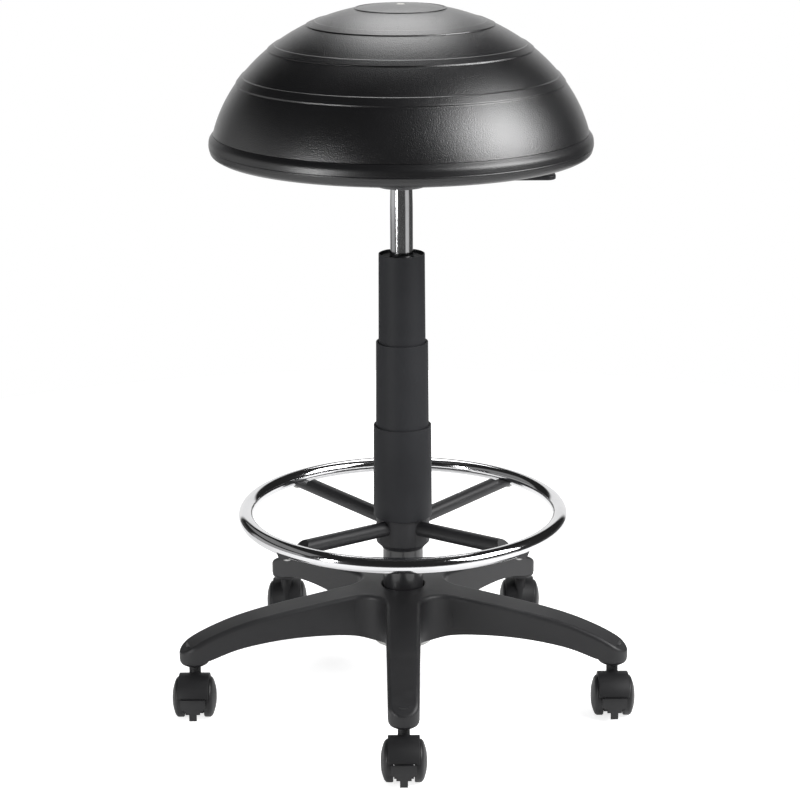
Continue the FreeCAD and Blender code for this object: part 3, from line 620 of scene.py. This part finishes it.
def softened(mesh, width, segments=2, angle=35):
    """Mesh with its sharp edges rounded by a Bevel modifier, given in millimetres."""
    piece = put("softened", mesh)
    bevel = piece.modifiers.new("bevel", "BEVEL")
    bevel.width = width * mm
    bevel.segments = segments
    bevel.limit_method = "ANGLE"
    bevel.angle_limit = math.radians(angle)
    kept = evaluated_mesh(piece)
    bpy.data.objects.remove(piece)
    return kept


def prism(outline, low, high):
    """Upright prism on an (x, y) outline, in millimetres."""
    shape = bmesh.new()
    ends = [[shape.verts.new((x * mm, y * mm, z * mm)) for x, y in outline] for z in (low, high)]
    shape.faces.new(ends[0][::-1])
    shape.faces.new(ends[1])
    for k in range(len(outline)):
        n = (k + 1) % len(outline)
        shape.faces.new((ends[0][k], ends[0][n], ends[1][n], ends[1][k]))
    return mesh_of(shape, "prism")


print("copying tools ready")

# %% [markdown]
# ## The pan under the ball
#
# The ball's foot sits in a round moulded pan. Its rolled rim is the bulge under the dark seam
# line, and a fine groove runs round its widest part. Below, the pan is flat with a pad for the
# steel plate, a ring rib and radial gussets that taper out to the rim. The pan is turned on the
# lathe tree and the gussets are copies of one.

# %% Make the pan
def smooth_run(points, parts=6):
    """Points of a smooth curve through the given (radius, height) points."""
    vectors = [Vector(p) for p in points]
    padded_run = [2 * vectors[0] - vectors[1], *vectors, 2 * vectors[-1] - vectors[-2]]
    run = []
    for a, b, c, d in zip(padded_run, padded_run[1:], padded_run[2:], padded_run[3:]):
        for k in range(parts):
            t = k / parts
            run.append(0.5 * (2 * b + (c - a) * t + (2 * a - 5 * b + 4 * c - d) * t ** 2
                              + (3 * b - a - 3 * c + d) * t ** 3))
    return run + [vectors[-1]]


pan_low, pan_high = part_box("seat_pan")
rim_radius = pan_high.x * 1000
rim_top = pan_high.z * 1000
pad_low = pan_low.z * 1000
floor_low = 684.0
floor_high = 688.0
rim_inner = 218.4
ring_rib = 150.0
rib_deep = 5.0
rib_wide = 3.0
pad_radius = 92.0
recess_radius = 34.0
recess_deep = 1.5
rim_side = smooth_run([(rim_radius - 5.1, rim_top), (rim_radius - 1.0, rim_top - 6.0),
                       (rim_radius, rim_top - 12.6)])
rim_groove = [(rim_radius - 0.02, rim_top - 13.4), (rim_radius - 0.5, rim_top - 13.8),
              (rim_radius - 0.1, rim_top - 14.4)]
rim_foot = smooth_run([(rim_radius - 0.1, rim_top - 15.2), (rim_radius - 2.4, rim_top - 22.6),
                       (rim_radius - 8.0, floor_low)])
pan_under = rounded([(ring_rib + rib_wide, floor_low), (ring_rib + rib_wide, floor_low - rib_deep),
                     (ring_rib, floor_low - rib_deep), (ring_rib, floor_low),
                     (pad_radius, floor_low), (pad_radius, pad_low), (recess_radius, pad_low),
                     (recess_radius, pad_low + recess_deep), (0, pad_low + recess_deep)],
                    0.8, closed=False)
pan_outline = [(0, floor_high), (rim_inner, floor_high), (rim_inner, rim_top - 0.6),
               (rim_inner + 0.6, rim_top), *rim_side, *rim_groove, *rim_foot, *pan_under]
turned("ball_pan", "seat_pan", pan_outline, 192, 40)

gusset_low = 676.0
gusset_end = 212.0
gusset_half = 1.5
gusset_count = 12
gusset_side = [(pad_radius - 2, gusset_low), (gusset_end, floor_low), (gusset_end, floor_low + 1),
               (pad_radius - 2, floor_low + 1)]
gusset = bpy.data.meshes.new("gusset")
gusset.from_pydata([(x * mm, y * mm, z * mm) for y in (-gusset_half, gusset_half)
                    for x, z in gusset_side], [],
                   [(0, 1, 2, 3), (7, 6, 5, 4), (0, 4, 5, 1), (1, 5, 6, 2), (2, 6, 7, 3),
                    (3, 7, 4, 0)])
pan_ribs = repeated("pan_gussets", softened(gusset, 0.5), gusset_count, 15, "pan_plastic")
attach(pan_ribs, "seat")

# %% [markdown]
# ## Bolts under the plate and screws under the ring
#
# Four hexagon bolts with washers hold the plate to the pan, and one pan-head screw holds each
# spoke to the ring from below. Each is modelled once: the hexagon as a softened prism on a turned
# washer, the screw as a turned head with a cross cut into it. The tree then sets four of each.

# %% Make the bolts and screws
def joined_mesh(name, meshes):
    """One mesh from several."""
    shape = bmesh.new()
    for mesh in meshes:
        shape.from_mesh(mesh)
    return mesh_of(shape, name)


def moved(mesh, x, y=0.0):
    """The same mesh, moved sideways by millimetres."""
    mesh.transform(Matrix.Translation((x * mm, y * mm, 0)))
    return mesh


def turned_mesh(points, steps=32):
    """Mesh turned about its own upright axis, for fasteners."""
    piece = run_tree("blank", outline_mesh(points), lathe, {"Steps": steps})
    mesh = piece.data
    bpy.data.objects.remove(piece)
    return mesh


def washer_outline(inner, outer, low, high, edge):
    """Closed outline of a flat ring with softened edges."""
    return rounded([(inner, low), (outer, low), (outer, high), (inner, high)], edge)


bolt_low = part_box("plate_bolts")[0]
plate_low = 671.0
bolt_offset = 60.0
bolt_radius = 6.9
washer_low = plate_low - 1.4
washer_inner, washer_outer = 5.0, 8.4
hexagon = [(bolt_radius * math.cos(math.pi * k / 3), bolt_radius * math.sin(math.pi * k / 3))
           for k in range(6)]
bolt_head = softened(prism(hexagon, bolt_low.z * 1000, washer_low), 0.7, 3)
washer = turned_mesh(washer_outline(washer_inner, washer_outer, washer_low, plate_low, 0.3))
bolt = moved(joined_mesh("bolt", [bolt_head, washer]), bolt_offset, bolt_offset)
bolts = repeated("plate_bolt_heads", bolt, 4, 0, "bright_steel")
stands_for(bolts, "plate_bolts")

screw_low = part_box("ring_screws")[0]
ring_radius = 195.6
head_low = screw_low.z * 1000
head_top = head_low + 3.0
head_radius = 5.2
shank_radius = 2.5
shank_top = head_top + 4.4
screw_head = turned_mesh([(0, head_low), (3.4, head_low + 0.2), (4.6, head_low + 0.9),
                          (head_radius, head_low + 1.9), (head_radius, head_top - 0.2),
                          (head_radius - 0.2, head_top), (shank_radius, head_top),
                          (shank_radius, shank_top), (0, shank_top)], 40)


def cross_cutter(reach, width, low, high):
    """Plus-shaped prism that cuts a screw's drive."""
    a, b = reach, width / 2
    return prism([(a, -b), (a, b), (b, b), (b, a), (-b, a), (-b, b), (-a, b), (-a, -b), (-b, -b),
                  (-b, -a), (b, -a), (b, -b)], low, high)


def cut_away(mesh, tool):
    """Mesh with a tool's shape taken out of it."""
    piece = put("work", mesh)
    cutter = put("tool", tool)
    modifier = piece.modifiers.new("cut", "BOOLEAN")
    modifier.operation = "DIFFERENCE"
    modifier.solver = "EXACT"
    modifier.object = cutter
    kept = evaluated_mesh(piece)
    bpy.data.objects.remove(piece)
    bpy.data.objects.remove(cutter)
    return kept


cross = cross_cutter(2.6, 1.0, head_low - 1, head_low + 1.7)
screw = moved(cut_away(screw_head, cross), ring_radius)
screws = repeated("ring_screw_heads", screw, 4, 45, "bright_steel")
stands_for(screws, "ring_screws")

# %% [markdown]
# ## Covers and ring
#
# The three cover stages are thin tapered sleeves. Each mouth is rolled over by about half a
# millimetre, and that small radius is the bright line at the top of each stage, so the outlines
# here have their corners rounded. The ring is a tube bent to a circle. A mirror finish shows every
# facet, so it gets a finer mesh than the frame's. The lowest stage has a floor that grips the stand
# tube, and the highest hangs from the bright cylinder by a web and eight fingers.

# %% Make the covers
cover_wall = 1.5
cover_lip = 0.6
stages = {
    "lower_cover": {"r": (36.4, 35.6), "z": (228.0, 345.0), "flange": 0.0, "lip": cover_lip},
    "middle_cover": {"r": (32.8, 31.9), "z": (330.0, 451.0), "flange": 1.0, "lip": cover_lip},
    "upper_cover": {"r": (28.9, 28.1), "z": (431.0, 561.0), "flange": 1.1, "lip": 0.0},
}


def sleeve_outline(stage):
    """Closed outline of one tapered sleeve with its foot flange and rolled mouth."""
    (low_r, high_r), (low, high) = stage["r"], stage["z"]
    flange, lip = stage["flange"], stage["lip"]
    inner = high_r - cover_wall
    points = [(low_r - cover_wall, low), (low_r + flange, low)]
    if flange:
        points += [(low_r + flange, low + 2.0), (low_r, low + 2.1)]
    points += [(high_r, high), (inner - lip, high)]
    if lip:
        points += [(inner - lip, high - 1.6), (inner, high - 2.4)]
    return rounded(points, 0.55)


for node, stage in stages.items():
    turned(node + "_sleeve", node, sleeve_outline(stage), 128, 50)

# %% Close the covers on the tubes they grip
column_radius = 25.0
cylinder_radius = 14.0
web_top = stages["upper_cover"]["z"][1] - 3.0


def also_turned(name, body, slot_name, points, steps=96):
    """Turned piece that stands for no node by itself and rides with a body."""
    values = {"Steps": steps, "Finish": finishes[slot_name]}
    piece = run_tree(name, outline_mesh(points), lathe, values)
    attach(piece, body)
    print(name, "faces:", len(piece.data.polygons))
    return piece


grip_floor = washer_outline(column_radius + 0.1, 35.2, 229.6, 232.6, 0.4)
web = washer_outline(cylinder_radius + 2.0, 27.0, web_top - 2.0, web_top, 0.3)
also_turned("lower_cover_floor", "base", "cover_plastic", grip_floor)
also_turned("upper_cover_web", "seat", "cover_plastic", web)
finger_half = 4.5
finger_long = 9
finger_count = 8
finger_inner = cylinder_radius + 0.05
finger_outer = cylinder_radius + 2.2
finger_outline = [(finger_inner, -finger_half), (finger_outer, -finger_half),
                  (cylinder_radius + 2.6, 0), (finger_outer, finger_half),
                  (finger_inner, finger_half)]
finger = softened(prism(finger_outline, web_top - finger_long, web_top), 0.3)
fingers = repeated("upper_cover_fingers", finger, finger_count, 0, "cover_plastic")
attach(fingers, "seat")

# %% Make the ring
ring_tube = 9.45
ring_height = 231.0
tube_steps = 40
ring_outline = [(ring_radius + ring_tube * math.cos(2 * math.pi * k / tube_steps),
                 ring_height + ring_tube * math.sin(2 * math.pi * k / tube_steps))
                for k in range(tube_steps + 1)]
turned("chrome_ring", "foot_ring", ring_outline, 256, 60)

# %% [markdown]
# ## Soft edges on the castors
#
# Real mouldings have no knife edges, and each soft edge draws a thin line of light, which is what
# outlines a black pedal against a black wheel. The frame's mesh of a piece is loose triangles, so a
# copy is merged, its flat triangles are joined back into whole faces, and a Bevel rounds the edges.
# Each pedal's top is also raised by less than a millimetre, to shut the slit of light under the
# hood's lip.

# %% Soften the pedals and hoods
castor_count = 5
castor_crisp = 40


def softened_copy(node, width, raised_above=None, raised_by=0.0):
    """Copy of a node's mesh with its sharp edges rounded, standing for that node."""
    shape = bmesh.new()
    shape.from_mesh(frame["nodes"][node].data)
    for vert in shape.verts:
        if raised_above and vert.co.z > raised_above * mm:
            vert.co.z += raised_by * mm
    bmesh.ops.remove_doubles(shape, verts=shape.verts, dist=0.002 * mm)
    bmesh.ops.dissolve_limit(shape, angle_limit=math.radians(1), verts=shape.verts,
                             edges=shape.edges)
    mesh = softened(mesh_of(shape, node + "_merged"), width, 2, castor_crisp)
    mesh.materials.clear()
    mesh.materials.append(finishes[node_slots[node]])
    tidy_mesh(mesh, castor_crisp)
    stands_for(put(node + "_soft", mesh), node)


for k in range(1, castor_count + 1):
    softened_copy("brake_pedal_%d" % k, 0.6, raised_above=31.0, raised_by=0.75)
    softened_copy("castor_hood_%d" % k, 0.5)
print("softened castors:", castor_count)

# %% [markdown]
# ## Stage, lamps and camera
#
# The photograph is a studio shot on white. What a black glossy thing shows is mostly its lamps, so
# their places matter more than anything else here: a wide soft box behind and above the ball lights
# its crown, a large one at the right makes the broad glow on its shoulder, and a narrow upright one
# at the left draws the small glow and the white stripe down the chromed rod. A dim panel close at
# the left keeps that side of the ball from going black. The rest of the room is dim to a mirror,
# apart from the white backdrop, two pale boards and the white floor under the stool, which is what
# puts black lines into the chrome. The camera sees white all round.

# %% Floor
floor_steps = 96
seen_glow, mirrored_glow = 0.76, 0.3


def ray_kinds(bench, *kinds):
    """Signals that are 1 for rays of each kind and 0 for others."""
    path = bench.tree.nodes.new("ShaderNodeLightPath")
    return [Signal(bench, path.outputs["Is %s Ray" % kind]) for kind in kinds]


def stage_floor(radius):
    """White disc that also glows a little, so that it meets the white room without an edge."""
    mesh = bpy.data.meshes.new("floor")
    turns = [2 * math.pi * k / floor_steps for k in range(floor_steps)]
    ring = [(radius * math.cos(turn), radius * math.sin(turn), 0) for turn in turns]
    mesh.from_pydata(ring, [], [tuple(range(floor_steps))])
    floor = put("floor", mesh)
    material = bpy.data.materials.new("pale_floor")
    material.use_nodes = True
    bench = Bench(material.node_tree)
    material.node_tree.nodes.clear()
    seen, mirrored = ray_kinds(bench, "Camera", "Glossy")
    diffuse = bench.node("ShaderNodeBsdfDiffuse", {}, {"Color": (0.8, 0.8, 0.8, 1)})
    glow = bench.node("ShaderNodeEmission", {},
                      {"Strength": seen * seen_glow + mirrored * mirrored_glow})
    both = bench.node("ShaderNodeAddShader", {}, {0: diffuse, 1: glow})
    output = material.node_tree.nodes.new("ShaderNodeOutputMaterial")
    material.node_tree.links.new(both.socket, output.inputs["Surface"])
    mesh.materials.append(material)


stage_floor(1.5)
print("floor ready")

# %% World
def studio_world(ambient, dim_low, dim_high):
    """White to the camera, a dim room with pale boards to mirrors, soft light to the rest."""
    world = bpy.data.worlds.new("studio")
    bpy.context.scene.world = world
    world.use_nodes = True
    bench = Bench(world.node_tree)
    world.node_tree.nodes.clear()
    seen, mirrored, through = ray_kinds(bench, "Camera", "Glossy", "Transmission")
    direction = bench.node("ShaderNodeTexCoord", output="Generated")
    height = bench.node("ShaderNodeSeparateXYZ", {}, {0: direction}, output="Z")

    def towards(azimuth):
        """How closely a direction points to one on the horizon, given in degrees."""
        a = math.radians(azimuth)
        return bench.node("ShaderNodeVectorMath", {"operation": "DOT_PRODUCT"},
                          {0: direction, 1: (math.sin(a), -math.cos(a), 0)}, output="Value")

    def patch(closeness, half_angle):
        """Soft-edged patch of the room round that direction."""
        edge = math.cos(math.radians(half_angle))
        return bench.between(closeness, edge - 0.03, edge + 0.01)

    backdrop = patch(towards(180), 30)
    right_board = patch(towards(60), 22) * bench.between(height, 0.1, -0.1) * 0.65
    left_board = patch(towards(-97), 26) * bench.between(height, 0.3, 0.18) * 0.4
    pale = backdrop.maths("MAXIMUM", right_board).maths("MAXIMUM", left_board)
    dim = bench.between(height, 0.12, 0.0) * (dim_low - dim_high) + dim_high
    room = pale.maths("MAXIMUM", dim)
    clear = seen.maths("MAXIMUM", through)
    plain = (1 - clear) * (1 - mirrored) * ambient
    strength = clear + mirrored * (1 - clear) * room + plain
    light = bench.node("ShaderNodeBackground", {}, {"Color": (1, 1, 1, 1), "Strength": strength})
    output = world.node_tree.nodes.new("ShaderNodeOutputWorld")
    world.node_tree.links.new(light.socket, output.inputs["Surface"])


studio_world(0.31, 0.08, 0.02)
print("world ready")

# %% Lamps
lamp_target = Vector((0, 0, 0.76))


def soft_lamp(name, azimuth, elevation, distance, size, radiance):
    """Soft box seen from the seat in a direction given in degrees, azimuth 0 being the front."""
    a, e = math.radians(azimuth), math.radians(elevation)
    aim = Vector((math.sin(a) * math.cos(e), -math.cos(a) * math.cos(e), math.sin(e)))
    lamp = bpy.data.lights.new(name, "AREA")
    lamp.shape = "RECTANGLE"
    lamp.size, lamp.size_y = size
    lamp.energy = radiance * math.pi * size[0] * size[1]
    holder = put(name, lamp)
    holder.location = lamp_target + aim * distance
    holder.rotation_euler = aim.to_track_quat("Z", "Y").to_euler()


soft_lamp("crown_box", 180, 56, 1.6, (0.8, 1.15), 4.2)
soft_lamp("right_box", 67, 28, 2.0, (1.45, 1.35), 11.0)
soft_lamp("left_strip", -49, -3, 2.0, (0.26, 0.85), 27.0)
soft_lamp("left_panel", -97, -5, 0.66, (1.0, 0.46), 0.22)
print("lamps ready")

# %% Camera
def photo_camera():
    """The camera that was fitted to the photograph, in metres, degrees down and radians of roll."""
    data = bpy.data.cameras.new("photo_camera")
    holder = put("photo_camera", data)
    distance, height, down, roll = 2.735, 1.170, 16.19, -0.0045
    focal, sensor, shift = 103.95, 36.0, -0.0029
    data.sensor_width = sensor
    data.lens = focal
    data.shift_x = shift
    holder.location = (0, -distance, height)
    turn = Matrix.Rotation(math.radians(90 - down), 3, "X") @ Matrix.Rotation(roll, 3, "Z")
    holder.rotation_euler = turn.to_euler()
    bpy.context.scene.camera = holder


photo_camera()
bpy.context.scene.view_settings.view_transform = "Standard"
print("camera ready")
